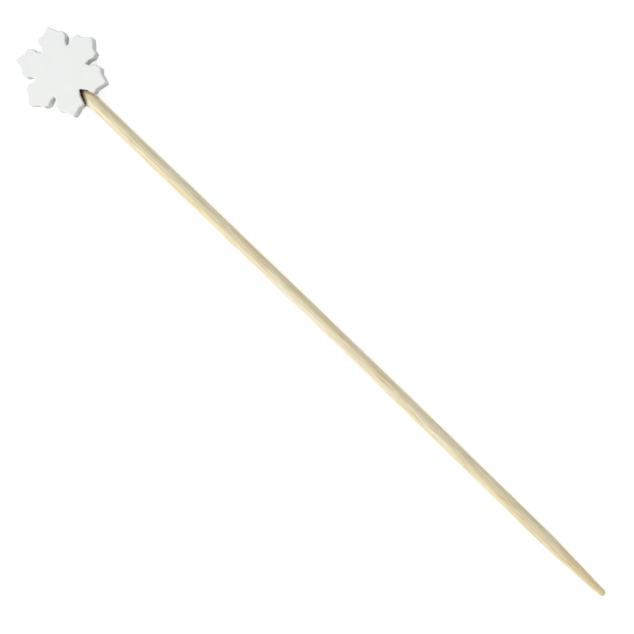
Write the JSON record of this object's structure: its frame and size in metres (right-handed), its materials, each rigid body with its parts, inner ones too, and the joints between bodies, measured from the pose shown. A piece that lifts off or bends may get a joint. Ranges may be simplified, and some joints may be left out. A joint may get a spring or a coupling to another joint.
{
  "type": "bamboo cocktail pick",
  "caption": "Slim round bamboo pick with a sharpened point and a flat white painted wood snowflake glued on its upper end.",
  "frame": {"origin": "centre of the snowflake's back face", "axes": "+X runs from the snowflake along the stick to the sharpened point, +Z is the outward normal of the snowflake's front face"},
  "size_m": [0.12, 0.014, 0.003],
  "materials": {
    "white_painted_wood": "thin matt white paint over wood",
    "bamboo": "bare, planed and sanded, fine lengthwise fibres",
    "dried_glue": "clear, slightly yellow"
  },
  "bodies": {
    "root": {"snowflake": "white_painted_wood", "bamboo_stick": "bamboo", "glue_plug": "dried_glue"}
  },
  "joints": []
}
